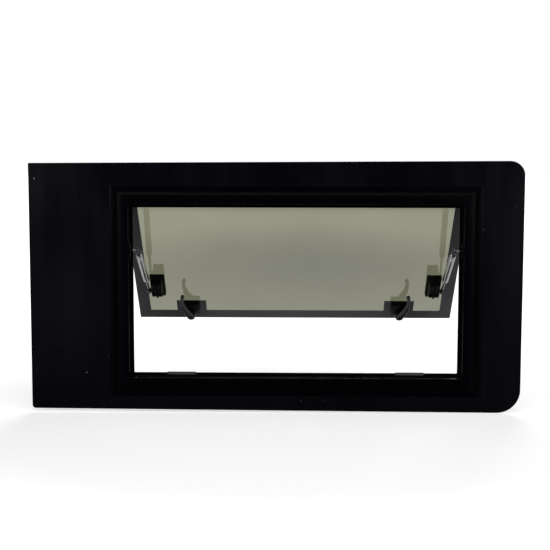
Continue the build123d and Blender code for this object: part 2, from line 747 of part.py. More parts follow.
def build_frame():
    rail_seats, hinge_seats = rail_screw_seats(), hinge_screw_seats()
    all_seats = rail_seats + hinge_seats
    write("carrier_panel", through_holes(carrier_panel(), all_seats, -2.0))

    rails, clamps = {}, {}
    for side in ("top", "bottom", "left", "right"):
        wedge = mitre_wedge(side)
        rails[side] = (bar(side, frame_profile()) - bar(side, chamber_profile())) & wedge
        clamps[side] = bar(side, clamp_profile()) & wedge
    wall = FRAME_W / 2 - NOSE_INNER
    for sign, side in ((-1, "left"), (1, "right")):
        for dz in (-STUD_SCREW_DZ, STUD_SCREW_DZ):
            rails[side] -= rod_x(sign * (wall - 1), sign * (wall + 4), 0.0, STRUT_FRAME_Z + dz, SCREW_R)
    rivet_z = -(FRAME_H / 2 - LIP_INNER) - RIVET_DROP
    for sign in (-1, 1):
        for dx in (-RIVET_DX, RIVET_DX):
            x = sign * LATCH_X + dx
            rails["bottom"] -= rod_y(x, rivet_z, RIVET_R, LIP_INDOOR_Y - 1, LIP_INDOOR_Y + RIVET_BITE)
    for side in rails:
        own = [s for s in all_seats if seat_side(s) == side]
        write(f"frame_rail_{side}", through_holes(rails[side], own, 1.0))
        write(f"clamp_rail_{side}", through_holes(clamps[side], own, SCREW_TIP_Y))
    write("corner_keys", *[corner_key(sx, sz) for sx in (-1, 1) for sz in (-1, 1)])
    write("groove_gasket", ring(FLANGE_WIDTH, NOSE_OUTER, -0.6, SEAT_DEPTH, 0.0, 0.0))
    tape = ring(OUTER_FLANGE_EDGE + 1.0, APERTURE_EDGE - 1.0, PANEL_THICK, OUTER_FLANGE_Y[0], 0.0, 0.0)
    write("flange_sealing_tape", through_holes(tape, all_seats, PANEL_THICK - 1))
    write("weather_seal", weather_seal())
    write("frame_screws", *[screw(s, (0, -1, 0), s[1] - SCREW_TIP_Y - 0.1) for s in rail_seats])
    rail = through_holes(hinge_rail(), hinge_seats, OUTER_FLANGE_Y[1] - 1)
    write("hinge_rail", rail)
    write("hinge_rail_screws", *[screw(s, (0, -1, 0), s[1] - SCREW_TIP_Y - 0.1) for s in hinge_seats])
    write("hinge_end_stops", hinge_stop(-1), hinge_stop(1))
    write_pair("strut_frame_bracket", frame_bracket())
    screws = frame_bracket_screws()
    write("strut_bracket_screws", *screws, *[mirrored(s) for s in screws])
    wall_x = -(FRAME_W / 2 - NOSE_INNER)
    write_pair("frame_ball_stud", ball_stud(FRAME_BALL, wall_x, COLLAR_AT))
    write_pair("latch_keeper", keeper())
    rivets = keeper_rivets()
    write("keeper_rivets", *rivets, *[mirrored(r) for r in rivets])


def seat_side(seat):
    x, _, z = seat
    if abs(x) > FRAME_W / 2 - 20.0:
        return "left" if x < 0 else "right"
    return "top" if z > 0 else "bottom"


def build_flap():
    write("glass_pane", opened(glass_pane()))
    write("printed_border", opened(printed_border()))
    write("hinge_profile", opened(hinge_profile()))
    write_pair("flap_bracket_base", opened(bracket_base()))
    write_pair("flap_bracket", opened(bracket_housing()))
    screws = [opened(s) for s in bracket_screws()]
    write("flap_bracket_screws", *screws, *[mirrored(s) for s in screws])
    base = latch_base()
    for dx in (-LATCH_SCREW_DX, LATCH_SCREW_DX):
        z = pane_z(LATCH_TOP_T + LATCH_SCREW_DROP)
        base -= rod_y(-LATCH_X + dx, z, SCREW_R, pane_y(LATCH_BASE + 1), pane_y(0.4))
    write_pair("latch_base", opened(base))
    write_pair("latch_housing", opened(latch_housing()))
    screws = [opened(s) for s in latch_base_screws()]
    write("latch_base_screws", *screws, *[mirrored(s) for s in screws])


def build_struts():
    write_pair("strut_tube", strut(strut_tube()))
    write_pair("strut_guide", strut(strut_guide()))
    write_pair("frame_socket", strut(socket(SOCKET_REACH, 1, -1)))
    write_pair("strut_rod", strut(strut_rod()))
    write_pair("strut_piston", strut(strut_piston()))
    write_pair("rod_socket", strut(rod_socket()))
    stud_base = -(BRACKET_X[1] + PIVOT_GAP)
    write_pair("rod_ball_stud", ball_stud(pane_ball(), stud_base, 0.0))


def build_latches():
    write_pair("latch_spindle", opened(latch_spindle()))
    write_pair("latch_tongue", opened(latch_tongue()))
    write_pair("latch_lever", opened(latch_lever()))
    screw_left = opened(lever_screw())
    write_pair("lever_screw", screw_left)


build_frame()
build_flap()
build_struts()
build_latches()

swing = [math.degrees(math.atan2(d[0], -d[1])) for d in (OPEN_DIRECTION, CLOSED_DIRECTION)]
print("strut length open, closed, travel:", OPEN_LENGTH, CLOSED_LENGTH, OPEN_LENGTH - CLOSED_LENGTH)
print("strut swing open, closed, degrees:", swing[0], swing[1])
print("strut axis:", STRUT_AXIS, "flap ball:", pane_ball())
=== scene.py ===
"""Looks of a top-hung side window: carrier panel, mitred frame, tinted flap, gas struts, latches.

Metres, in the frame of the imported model: X right seen from indoors, Y outdoors, Z up.
"""
import json
import math

import bmesh
import bpy
import numpy as np
from mathutils import Matrix, Vector


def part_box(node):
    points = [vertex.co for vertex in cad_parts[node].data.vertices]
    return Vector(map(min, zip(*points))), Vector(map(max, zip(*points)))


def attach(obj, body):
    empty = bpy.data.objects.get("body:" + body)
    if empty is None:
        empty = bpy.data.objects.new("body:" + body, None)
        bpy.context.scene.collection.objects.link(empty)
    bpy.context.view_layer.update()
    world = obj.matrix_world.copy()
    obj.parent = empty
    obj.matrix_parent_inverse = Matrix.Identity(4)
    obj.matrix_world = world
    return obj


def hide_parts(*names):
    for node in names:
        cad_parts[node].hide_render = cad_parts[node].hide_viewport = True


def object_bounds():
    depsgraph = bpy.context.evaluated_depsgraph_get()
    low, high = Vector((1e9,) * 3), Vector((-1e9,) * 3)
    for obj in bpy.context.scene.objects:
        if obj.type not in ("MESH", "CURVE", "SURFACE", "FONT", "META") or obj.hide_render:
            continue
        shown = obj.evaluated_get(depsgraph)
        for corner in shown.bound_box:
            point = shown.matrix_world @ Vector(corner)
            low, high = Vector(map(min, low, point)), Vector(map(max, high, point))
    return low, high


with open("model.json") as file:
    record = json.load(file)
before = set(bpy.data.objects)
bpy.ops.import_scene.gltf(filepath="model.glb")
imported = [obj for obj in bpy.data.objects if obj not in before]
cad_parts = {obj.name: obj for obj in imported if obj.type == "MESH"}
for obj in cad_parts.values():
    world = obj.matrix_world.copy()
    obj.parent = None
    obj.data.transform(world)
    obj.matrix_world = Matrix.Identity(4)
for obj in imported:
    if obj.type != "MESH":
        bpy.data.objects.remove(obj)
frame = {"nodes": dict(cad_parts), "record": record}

cad_low, cad_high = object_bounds()

MM = 0.001
NODES = frame["nodes"]
HANDS = {"left": -1, "right": 1}


# ---------------------------------------------------------------- meshes
def mesh_piece(name, points, faces, body, slot, stands_for=(), smooth_angle=35.0):
    """One finished piece from an array of points and a list of faces, which rides on a body."""
    mesh = bpy.data.meshes.new(name)
    mesh.from_pydata(np.asarray(points, float).tolist(), [], [list(map(int, f)) for f in faces])
    mesh.validate()
    mesh.shade_smooth()
    mesh.set_sharp_from_angle(angle=math.radians(smooth_angle))
    piece = bpy.data.objects.new(name, mesh)
    bpy.context.scene.collection.objects.link(piece)
    piece.data.materials.append(FINISHES[slot])
    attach(piece, body)
    if stands_for:
        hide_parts(*stands_for)
    return piece


def ring_faces(rings, around):
    """Quads from each ring of points to the next, closed round the ring."""
    index = np.arange(rings * around).reshape(rings, around)
    ahead = np.roll(index, -1, axis=1)
    quads = np.stack([index[:-1], ahead[:-1], ahead[1:], index[1:]], axis=-1)
    return quads.reshape(-1, 4), index


def outward(piece):
    """Merges a closed mesh's poles and turns its faces outwards."""
    shape = bmesh.new()
    shape.from_mesh(piece.data)
    bmesh.ops.remove_doubles(shape, verts=shape.verts, dist=1e-7)
    bmesh.ops.recalc_face_normals(shape, faces=shape.faces)
    shape.to_mesh(piece.data)
    shape.free()


def arc_corner(before, corner, after, radius, steps):
    """Points of the arc that rounds a corner.

    It touches both legs at radius / tan(half the corner), and its middle is
    radius / sin(half the corner) from the corner, on the line that halves it.
    """
    before, corner, after = (np.asarray(p, float) for p in (before, corner, after))
    to_before = (before - corner) / np.linalg.norm(before - corner)
    to_after = (after - corner) / np.linalg.norm(after - corner)
    half = 0.5 * math.acos(np.clip(to_before @ to_after, -1, 1))
    reach = radius / math.tan(half)
    halving = (to_before + to_after) / np.linalg.norm(to_before + to_after)
    middle = corner + halving * radius / math.sin(half)
    start = corner + to_before * reach - middle
    end = corner + to_after * reach - middle
    turn = math.atan2(start[0] * end[1] - start[1] * end[0], start @ end)
    angle = np.linspace(0, turn, steps)
    cosine, sine = np.cos(angle)[:, None], np.sin(angle)[:, None]
    return middle + start * cosine + np.array([-start[1], start[0]]) * sine


def rounded_outline(corners, steps=5):
    """Closed outline of (across, depth, radius) corners, each rounded by its own radius."""
    ahead = corners[1:] + corners[:1]
    behind = corners[-1:] + corners[:-1]
    return np.vstack([
        arc_corner(last[:2], corner[:2], following[:2], corner[2], steps)
        for last, corner, following in zip(behind, corners, ahead)
    ])


# ---------------------------------------------------------------- shader node helpers
def add(tree, kind, feeds=None, **settings):
    """Adds a shader node: settings are its properties, feeds its sockets, by value or link."""
    made = tree.nodes.new("ShaderNode" + kind)
    for name, value in settings.items():
        setattr(made, name, value)
    for name, value in (feeds or {}).items():
        if isinstance(value, bpy.types.NodeSocket):
            tree.links.new(value, made.inputs[name])
        else:
            made.inputs[name].default_value = value
    return made


def maths(tree, operation, first, second=0.0):
    """One sum, product or comparison of two values."""
    return add(tree, "Math", {0: first, 1: second}, operation=operation).outputs[0]


def ramped(tree, value, low, high, to_low=0.0, to_high=1.0):
    """Value carried smoothly from the range low..high to the range to_low..to_high."""
    feeds = {"Value": value, "From Min": low, "From Max": high, "To Min": to_low, "To Max": to_high}
    return add(tree, "MapRange", feeds, interpolation_type="SMOOTHSTEP").outputs["Result"]


def mixed(tree, share, first, second):
    """First colour turned into the second by a share of 0 to 1."""
    made = add(tree, "Mix", data_type="RGBA")
    share_in, first_in, second_in = (made.inputs[place] for place in (0, 6, 7))
    for socket, value in ((share_in, share), (first_in, first), (second_in, second)):
        if isinstance(value, bpy.types.NodeSocket):
            tree.links.new(value, socket)
        else:
            socket.default_value = value
    return made.outputs[2]


def object_point(tree):
    """Place of the shaded point in the piece's own frame."""
    return add(tree, "TexCoord").outputs["Object"]


def new_group(name, inputs, outputs):
    """Empty node group: its float inputs with their values, and its outputs with their kinds."""
    group = bpy.data.node_groups.new(name, "ShaderNodeTree")
    face = group.interface
    for socket, value in inputs.items():
        face.new_socket(socket, in_out="INPUT", socket_type="NodeSocketFloat").default_value = value
    for socket, kind in outputs.items():
        face.new_socket(socket, in_out="OUTPUT", socket_type="NodeSocket" + kind)
    given = group.nodes.new("NodeGroupInput").outputs
    out = group.nodes.new("NodeGroupOutput").inputs
    return group, given, out


def use(tree, group, **values):
    """Places a shared group with its own values; its outputs."""
    made = tree.nodes.new("ShaderNodeGroup")
    made.node_tree = group
    for name, value in values.items():
        made.inputs[name].default_value = value
    return made.outputs


# ---------------------------------------------------------------- shared surface effects
def grain_group():
    """Height of a fine moulded or sprayed grain: soft cells with a little noise between them."""
    group, given, out = new_group("fine_grain", {"Scale": 1200.0}, {"Height": "Float"})
    point = object_point(group)
    sized = {"Vector": point, "Scale": given["Scale"]}
    noise = add(group, "TexNoise", {**sized, "Detail": 3.0, "Roughness": 0.6})
    cells = add(group, "TexVoronoi", sized, feature="SMOOTH_F1")
    total = maths(group, "ADD", noise.outputs["Fac"], cells.outputs["Distance"])
    group.links.new(maths(group, "MULTIPLY", total, 0.5), out["Height"])
    return group


def edge_wear_and_highlight_group():
    """Lightened edges, for rubbed wear and for painted edge highlights: where the surface turns
    within Radius, broken up by a patchy noise.
    """
    inputs = {"Radius": 0.0006, "Amount": 0.5, "Patches": 60.0}
    group, given, out = new_group("edge_wear_and_highlight", inputs, {"Mask": "Float", "Normal": "Vector"})
    rounded = add(group, "Bevel", {"Radius": given["Radius"]}, samples=4)
    flat = add(group, "NewGeometry").outputs["Normal"]
    along = add(group, "VectorMath", {0: rounded.outputs[0], 1: flat}, operation="DOT_PRODUCT")
    turn = ramped(group, maths(group, "SUBTRACT", 1.0, along.outputs["Value"]), 0.01, 0.12)
    spread = {"Vector": object_point(group), "Scale": given["Patches"], "Detail": 4.0}
    patch = add(group, "TexNoise", spread)
    broken = ramped(group, patch.outputs["Fac"], 0.40, 0.7, 0.5, 1.0)
    shown = maths(group, "MULTIPLY", maths(group, "MULTIPLY", turn, broken), given["Amount"])
    group.links.new(shown, out["Mask"])
    group.links.new(rounded.outputs[0], out["Normal"])
    return group


def dust_group():
    """Specks of settled dust: one small dot in some of the cells of an even scatter."""
    group, given, out = new_group("settled_dust", {"Scale": 300.0, "Size": 0.12}, {"Mask": "Float"})
    cells = add(group, "TexVoronoi", {"Vector": object_point(group), "Scale": given["Scale"]})
    lucky = add(group, "SeparateColor", {0: cells.outputs["Color"]}).outputs[0]
    size = maths(group, "MULTIPLY", ramped(group, lucky, 0.75, 1.0), given["Size"])
    speck = maths(group, "LESS_THAN", cells.outputs["Distance"], size)
    group.links.new(speck, out["Mask"])
    return group


STREAK_SHARE = 0.3


def haze_group():
    """Uneven gloss from wiping: a large cloud, and fainter streaks that run up and down."""
    inputs = {"Scale": 3.0, "Streaks": 30.0}
    group, given, out = new_group("wiped_haze", inputs, {"Tone": "Float"})
    point = object_point(group)
    cloudy = {"Vector": point, "Scale": given["Scale"], "Detail": 2.0, "Distortion": 0.4}
    cloud = add(group, "TexNoise", cloudy)
    long = add(group, "Mapping", {"Vector": point, "Scale": (1.0, 1.0, 0.12)}).outputs[0]
    streak = add(group, "TexNoise", {"Vector": long, "Scale": given["Streaks"], "Detail": 4.0})
    both = {0: STREAK_SHARE, 2: cloud.outputs["Fac"], 3: streak.outputs["Fac"]}
    total = add(group, "Mix", both, data_type="FLOAT")
    group.links.new(ramped(group, total.outputs[0], 0.32, 0.68), out["Tone"])
    return group


GRAIN = grain_group()
EDGE_WEAR_AND_HIGHLIGHT = edge_wear_and_highlight_group()
DUST = dust_group()
HAZE = haze_group()


# ---------------------------------------------------------------- finishes
def new_finish(name):
    """Material with one Principled shader: its tree and that shader."""
    material = bpy.data.materials.new(name)
    material.use_nodes = True
    return material, material.node_tree, material.node_tree.nodes["Principled BSDF"]


def colour(red, green, blue):
    """Opaque colour for a shader socket."""
    return (red, green, blue, 1.0)


COLD = colour(0.92, 0.87, 1.0)  # faint violet cast of the black coatings


def surface(tree, shader, base, rough, height, relief, normal=None):
    """Feeds a shader its colour and roughness, and a bump of the given height and relief."""
    bump = add(tree, "Bump", {"Height": height, **({"Normal": normal} if normal else {})})
    bump.inputs["Distance"].default_value = relief
    tree.links.new(base, shader.inputs["Base Color"])
    tree.links.new(rough, shader.inputs["Roughness"])
    tree.links.new(bump.outputs[0], shader.inputs["Normal"])


def satin(name, body, wear_and_highlight_colour, gloss, grain, wear_and_highlight, metallic=0.0, specular=0.5,
          dust=0.0, haze=3.0, tint=None):
    """Opaque finish with grain, lightened edges, uneven gloss and dust.

    gloss is the roughness where it is most and least wiped, grain its (scale, height),
    wear_and_highlight the (radius, amount) of the lightened edges and wear_and_highlight_colour
    their colour: wear, and on frame_black a painted highlight. dust is the size of its specks.
    """
    material, tree, shader = new_finish(name)
    edges = use(tree, EDGE_WEAR_AND_HIGHLIGHT, Radius=wear_and_highlight[0], Amount=wear_and_highlight[1])
    tone = use(tree, HAZE, Scale=haze)["Tone"]
    # lightened edges: wear, and on frame_black a painted highlight along the arrises
    base = mixed(tree, edges["Mask"], colour(*body), colour(*wear_and_highlight_colour))
    if dust:
        specks = use(tree, DUST, Size=dust)["Mask"]
        base = mixed(tree, maths(tree, "MULTIPLY", specks, 0.5), base, colour(0.3, 0.3, 0.29))
    rough = ramped(tree, tone, 0.0, 1.0, *gloss)
    surface(tree, shader, base, rough, use(tree, GRAIN, Scale=grain[0])["Height"], grain[1],
            edges["Normal"])
    shader.inputs["Metallic"].default_value = metallic
    shader.inputs["Specular IOR Level"].default_value = specular
    if tint:
        shader.inputs["Specular Tint"].default_value = tint
    return material


def spot(tree, centre, size, soft=0.35, tilt=0.0):
    """Mask of an ellipsoid about a point of the piece, 1 inside and soft at its rim."""
    place = {"Location": centre, "Rotation": (0.0, tilt, 0.0), "Scale": size}
    inside = add(
        tree, "Mapping", {"Vector": object_point(tree), **place}, vector_type="TEXTURE"
    ).outputs[0]
    far = add(tree, "VectorMath", {0: inside}, operation="LENGTH").outputs["Value"]
    return ramped(tree, far, 1.0, 1.0 - soft)


def marks(tree, places):
    """Mask of several small marks, each given by its centre, size and tilt."""
    total = None
    for centre, size, tilt in places:
        mask = spot(tree, centre, size, tilt=tilt)
        total = mask if total is None else maths(tree, "MAXIMUM", total, mask)
    return total


def panel_finish():
    """Semi-gloss black board: wiped haze, a painted sheen on its left and right, two short scuffs
    near the lower left, a few specks.
    """
    material, tree, shader = new_finish("panel_black")
    low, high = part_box("carrier_panel")
    # painted sheen: lighter patches on the left and right of the board, standing in for the
    # softboxes' reflection
    painted_sheen_left = (low.x + 0.085, low.y, -0.02), (0.12, 0.05, 0.23)
    painted_sheen_right = (high.x - 0.045, low.y, 0.05), (0.06, 0.05, 0.19)
    scuff_places = [
        ((low.x + 0.068, low.y, low.z + 0.146), (0.013, 0.02, 0.0024), 0.28),
        ((low.x + 0.100, low.y, low.z + 0.136), (0.007, 0.02, 0.0020), 0.10),
    ]
    chip_places = [
        ((low.x + 0.014, low.y, high.z - 0.043), (0.0016, 0.02, 0.0016), 0.0),
        ((high.x - 0.094, low.y, high.z - 0.160), (0.0016, 0.02, 0.0012), 0.0),
        ((low.x + 0.131, low.y, low.z + 0.093), (0.0012, 0.02, 0.0012), 0.0),
    ]
    edges = use(tree, EDGE_WEAR_AND_HIGHLIGHT, Radius=0.0008, Amount=0.12, Patches=25.0)
    tone = use(tree, HAZE, Scale=2.6, Streaks=22.0)["Tone"]
    base = mixed(tree, tone, colour(0.0008, 0.0006, 0.0017), colour(0.0018, 0.0015, 0.0032))
    # painted sheen: the board's colour is lighter inside those two patches
    painted_sheen = maths(
        tree, "MAXIMUM", spot(tree, *painted_sheen_left, soft=1.0), spot(tree, *painted_sheen_right, soft=1.0)
    )
    base = mixed(tree, painted_sheen, base, colour(0.0040, 0.0036, 0.0056))
    base = mixed(tree, edges["Mask"], base, colour(0.06, 0.06, 0.07))
    specks = use(tree, DUST, Scale=70.0, Size=0.045)["Mask"]
    base = mixed(tree, maths(tree, "MULTIPLY", specks, 0.6), base, colour(0.4, 0.4, 0.42))
    scuffs = marks(tree, scuff_places)
    base = mixed(tree, scuffs, base, colour(0.0003, 0.0003, 0.0004))
    base = mixed(tree, marks(tree, chip_places), base, colour(0.30, 0.30, 0.32))
    polished = maths(tree, "MULTIPLY", scuffs, 0.2)
    rough = maths(tree, "SUBTRACT", ramped(tree, tone, 0.0, 1.0, 0.22, 0.31), polished)
    grain = use(tree, GRAIN, Scale=420.0)["Height"]
    surface(tree, shader, base, rough, grain, 0.00005, edges["Normal"])
    shader.inputs["Specular IOR Level"].default_value = 0.26
    shader.inputs["Specular Tint"].default_value = COLD
    return material


def glass_finish():
    """Grey-green tinted toughened glass, slightly wavy, with a faint film."""
    material, tree, shader = new_finish("tinted_glass")
    ripple = add(tree, "TexNoise", {"Vector": object_point(tree), "Scale": 9.0, "Detail": 1.0})
    bump = add(tree, "Bump", {"Height": ripple.outputs["Fac"]})
    bump.inputs["Distance"].default_value = 0.00002
    tree.links.new(bump.outputs[0], shader.inputs["Normal"])
    tone = use(tree, HAZE, Scale=4.0, Streaks=12.0)["Tone"]
    base = mixed(tree, tone, colour(0.152, 0.154, 0.103), colour(0.138, 0.140, 0.092))
    tree.links.new(base, shader.inputs["Base Color"])
    shader.inputs["Roughness"].default_value = 0.0
    shader.inputs["Transmission Weight"].default_value = 1.0
    shader.inputs["IOR"].default_value = 1.5
    return material


def print_finish():
    """Grey ceramic print fired on the glass: smooth, with a dotted unevenness."""
    material, tree, shader = new_finish("print_grey")
    tone = use(tree, HAZE, Scale=5.0, Streaks=60.0)["Tone"]
    dots = use(tree, GRAIN, Scale=900.0)["Height"]
    uneven = maths(tree, "MULTIPLY", maths(tree, "ADD", tone, dots), 0.5)
    base = mixed(tree, uneven, colour(0.049, 0.049, 0.055), colour(0.068, 0.068, 0.076))
    surface(tree, shader, base, ramped(tree, tone, 0.0, 1.0, 0.28, 0.4), dots, 0.00001)
    shader.inputs["Specular IOR Level"].default_value = 0.15
    return material


def tube_finish():
    """Drawn silver tube: metallic satin with fine turned rings and a few dull patches."""
    material, tree, shader = new_finish("tube_silver")
    edges = use(tree, EDGE_WEAR_AND_HIGHLIGHT, Radius=0.0005, Amount=0.7, Patches=90.0)
    tone = use(tree, HAZE, Scale=30.0, Streaks=400.0)["Tone"]
    base = mixed(tree, tone, colour(0.36, 0.36, 0.375), colour(0.46, 0.46, 0.475))
    base = mixed(tree, edges["Mask"], base, colour(0.82, 0.82, 0.84))
    grain = use(tree, GRAIN, Scale=2500.0)["Height"]
    rough = ramped(tree, tone, 0.0, 1.0, 0.13, 0.22)
    surface(tree, shader, base, rough, grain, 0.00001, edges["Normal"])
    shader.inputs["Metallic"].default_value = 1.0
    return material


FINISHES = {
    "panel_black": panel_finish(),
    "tinted_glass": glass_finish(),
    "print_grey": print_finish(),
    "tube_silver": tube_finish(),
    # frame_black: its lighter edge colour is a painted highlight along the rounded arrises
    "frame_black": satin(
        "frame_black", (0.0006, 0.0005, 0.0013), (0.050, 0.048, 0.062), (0.24, 0.32),
        (1100.0, 0.00002), (0.0006, 0.3), specular=0.09, dust=0.03, tint=COLD,
    ),
    "key_zinc": satin(
        "key_zinc", (0.52, 0.53, 0.54), (0.7, 0.7, 0.71), (0.4, 0.55),
        (700.0, 0.00008), (0.0005, 0.6), metallic=1.0,
    ),
    "seal_rubber": satin(
        "seal_rubber", (0.0007, 0.0007, 0.0008), (0.003, 0.003, 0.003), (0.62, 0.8),
        (1500.0, 0.00006), (0.0005, 0.4), specular=0.12, dust=0.08,
    ),
    "screw_black": satin(
        "screw_black", (0.035, 0.035, 0.04), (0.3, 0.3, 0.31), (0.28, 0.42),
        (2000.0, 0.00003), (0.0003, 0.8), metallic=1.0,
    ),
    "hardware_black": satin(
        "hardware_black", (0.0012, 0.0011, 0.0015), (0.02, 0.02, 0.023), (0.38, 0.52),
        (1800.0, 0.00005), (0.0005, 0.3), specular=0.1, dust=0.06,
    ),
    "socket_graphite": satin(
        "socket_graphite", (0.030, 0.030, 0.034), (0.10, 0.10, 0.11), (0.3, 0.42),
        (1800.0, 0.00004), (0.0004, 0.6),
    ),
    "rod_chrome": satin(
        "rod_chrome", (0.30, 0.30, 0.32), (0.5, 0.5, 0.52), (0.08, 0.16),
        (3000.0, 0.000004), (0.0003, 0.5), metallic=1.0, haze=40.0,
    ),
    "latch_steel": satin(
        "latch_steel", (0.035, 0.035, 0.037), (0.3, 0.3, 0.31), (0.3, 0.45),
        (1500.0, 0.00003), (0.0003, 0.7), metallic=1.0,
    ),
    "keeper_grey": satin(
        "keeper_grey", (0.05, 0.05, 0.048), (0.12, 0.12, 0.12), (0.42, 0.55),
        (1500.0, 0.00004), (0.0004, 0.5),
    ),
}
LEVER_BLACK = satin(
    "lever_black", (0.010, 0.010, 0.011), (0.16, 0.16, 0.17), (0.22, 0.32),
    (1800.0, 0.00003), (0.0009, 0.75), specular=0.5, dust=0.05,
)
SLOTS = {name: node.data.materials[0].name.split(".")[0] for name, node in NODES.items()}
BODIES = {
    name: body for body, names in frame["record"]["behaviour"]["bodies"].items() for name in names
}
for node_name, cad_node in NODES.items():
    cad_node.data.materials[0] = FINISHES[SLOTS[node_name]]


# ---------------------------------------------------------------- hardware with rounded edges
ROUNDED = {  # node: radius of its edges, in millimetres
    "flap_bracket": 0.7, "flap_bracket_base": 0.4, "latch_housing": 0.7, "latch_base": 0.4,
    "latch_keeper": 0.3, "strut_frame_bracket": 0.45, "latch_tongue": 0.5, "frame_socket": 0.5,
    "rod_socket": 0.5, "latch_spindle": 0.3, "frame_ball_stud": 0.25,
}
ROUND_STEPS = 3
ROUND_FROM = 38.0  # degrees: edges sharper than this are rounded
FLAT_WITHIN = 0.5  # degrees: facets flatter than this are one face


def rounded_copy(node, radius):
    """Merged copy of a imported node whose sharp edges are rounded; it stands for the node."""
    mesh = NODES[node].data.copy()
    shape = bmesh.new()
    shape.from_mesh(mesh)
    bmesh.ops.remove_doubles(shape, verts=shape.verts, dist=2e-6)
    bmesh.ops.dissolve_limit(
        shape, angle_limit=math.radians(FLAT_WITHIN), verts=shape.verts, edges=shape.edges
    )
    shape.to_mesh(mesh)
    shape.free()
    mesh.shade_smooth()
    piece = bpy.data.objects.new(node + "_rounded", mesh)
    bpy.context.scene.collection.objects.link(piece)
    bevel = piece.modifiers.new("rounded", "BEVEL")
    bevel.width = radius * MM
    bevel.segments = ROUND_STEPS
    bevel.limit_method = "ANGLE"
    bevel.angle_limit = math.radians(ROUND_FROM)
    bevel.use_clamp_overlap = True
    bevel.harden_normals = True
    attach(piece, BODIES[node])
    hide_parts(node)


for stem, edge_radius in ROUNDED.items():
    for hand in HANDS:
        rounded_copy(stem + "_" + hand, edge_radius)
rounded_copy("hinge_profile", 0.4)


# ---------------------------------------------------------------- gas struts
TURNED_SHARP = 50.0  # degrees: a turned piece is smooth up to this edge
STRUT_X = 372.0
FRAME_BALL_YZ = (7.0, 95.0)
STRUT_DIRECTION = np.array([0.863752, -0.503917])
TUBE_WALL = (  # distance along the strut, radius: closed foot, barrel, grooves, rolled mouth, bore
    (17.0, 0.0), (17.0, 3.6), (17.15, 4.8), (17.6, 5.9), (18.4, 6.8), (19.6, 7.35), (20.8, 7.5),
    (24.2, 7.5), (24.6, 7.42), (25.0, 7.1), (25.6, 7.0), (26.2, 7.1), (26.6, 7.42), (27.0, 7.5),
    (60.0, 7.5), (110.0, 7.5), (150.0, 7.5),
    (159.2, 7.5), (159.6, 7.38), (160.1, 7.0), (160.8, 6.95), (161.5, 7.0), (162.0, 7.38),
    (162.4, 7.5), (167.2, 7.5), (168.2, 7.42), (169.2, 7.0), (169.8, 6.4), (169.99, 5.7),
    (169.8, 5.0), (169.2, 4.6), (168.4, 4.5), (167.0, 4.5), (167.0, 6.5), (120.0, 6.5),
    (22.0, 6.5), (22.0, 0.0),
)


def turned(name, profile, start, direction, body, slot, stands_for, around=64):
    """A profile of (distance, radius) turned about a line.

    Point = start + distance along the line + radius times the cosine and sine of the angle
    on the two directions across it.
    """
    distance, radius = np.array(profile, float).T * MM
    direction = np.asarray(direction, float)
    direction = direction / np.linalg.norm(direction)
    helper = np.array([1.0, 0, 0]) if abs(direction[0]) < 0.9 else np.array([0, 1.0, 0])
    first = np.cross(direction, helper)
    first = first / np.linalg.norm(first)
    second = np.cross(direction, first)
    angle = np.linspace(0, 2 * np.pi, around, endpoint=False)
    spoke = np.cos(angle)[:, None] * first + np.sin(angle)[:, None] * second
    grid = start + distance[:, None, None] * direction + radius[:, None, None] * spoke
    faces, _ = ring_faces(len(distance), around)
    piece = mesh_piece(
        name, grid.reshape(-1, 3), faces, body, slot, stands_for, smooth_angle=TURNED_SHARP
    )
    outward(piece)
    return piece


for hand, sign in HANDS.items():
    strut_start = np.array([sign * STRUT_X, *FRAME_BALL_YZ]) * MM
    turned(
        "strut_barrel_" + hand, TUBE_WALL, strut_start, (0.0, *STRUT_DIRECTION),
        "strut_cylinder_" + hand, "tube_silver", ["strut_tube_" + hand],
    )


# ---------------------------------------------------------------- latch levers
OPEN_ANGLE = math.radians(42.0)
HINGE_Y, HINGE_Z = 20.0, 225.4
LATCH_X, LATCH_T = 271.0, 406.0
LEVER_H = (24.5, 32.5)
GLASS_FACE = 3.0
LEVER_PATH = np.array([  # outer edge across, up; inner edge across, up
    (-5.0, -6.0, 5.0, -3.0), (-10.5, 1.0, 6.3, 4.6), (-15.5, 12.0, 3.6, 10.5),
    (-19.0, 22.0, -1.6, 21.0),
    (-21.4, 31.0, -6.8, 31.0), (-23.0, 41.0, -11.4, 42.0), (-23.6, 51.0, -14.0, 52.0),
    (-23.7, 60.0, -15.2, 61.0), (-23.2, 69.0, -14.4, 69.0), (-22.3, 75.5, -12.6, 75.0),
    (-21.2, 79.8, -13.0, 79.6), (-18.6, 82.6, -15.4, 82.6),
])
LEVER_ROWS, LEVER_AROUND = 60, 28
LEVER_SQUARE = 0.55  # power of the section's superellipse: 1 is an ellipse, 0 a rectangle
TIP_SHARE, TIP_THICK = 0.05, 0.55  # the tip's share of the length, and its thickness


def pane_frame(across, up, height):
    """Points given on the open pane about a latch's spindle, in metres.

    Across is X, up runs along the pane to the hinge, height stands off the glass towards indoors.
    """
    down = LATCH_T - up
    lift = height + GLASS_FACE
    sine, cosine = math.sin(OPEN_ANGLE), math.cos(OPEN_ANGLE)
    y = HINGE_Y + down * sine - lift * cosine
    z = HINGE_Z - down * cosine - lift * sine
    return np.stack([across, y, z], axis=-1) * MM


def smooth_path(knots, count):
    """Catmull-Rom curve through rows of knots, evenly divided in its parameter."""
    padded = np.vstack([2 * knots[0] - knots[1], knots, 2 * knots[-1] - knots[-2]])
    place = np.linspace(0, len(knots) - 1.0001, count)
    step = place.astype(int)
    t = (place - step)[:, None]
    a, b, c, d = padded[step], padded[step + 1], padded[step + 2], padded[step + 3]
    square, cube = 2 * a - 5 * b + 4 * c - d, 3 * b - a - 3 * c + d
    return 0.5 * (2 * b + (c - a) * t + square * t**2 + cube * t**3)


